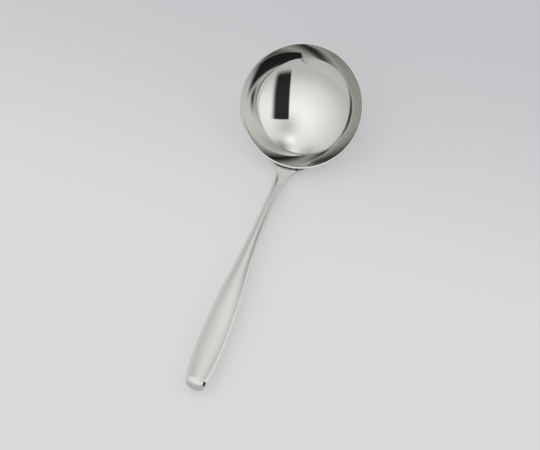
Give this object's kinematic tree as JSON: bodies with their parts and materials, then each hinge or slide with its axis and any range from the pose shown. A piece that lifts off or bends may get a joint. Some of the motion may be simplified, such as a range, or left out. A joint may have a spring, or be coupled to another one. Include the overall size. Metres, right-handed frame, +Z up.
{
  "type": "soup ladle",
  "caption": "Soup ladle: round deep bowl of polished sheet steel, waisted satin handle with bevelled margins, and a folded hook end for hanging.",
  "frame": {"origin": "centre of the bounding box in X and Y, at the table the ladle lies on", "axes": "+Z up from the table, +Y from the handle towards the bowl, +X across the handle"},
  "size_m": [0.0936, 0.2748, 0.0617],
  "materials": {
    "bowl_steel": "mirror polished stainless steel",
    "handle_steel": "satin panel with polished margins and polished neck",
    "weld_steel": "ground and polished weld"
  },
  "bodies": {
    "root": {"bowl": "bowl_steel", "handle": "handle_steel", "weld": "weld_steel"}
  },
  "joints": []
}
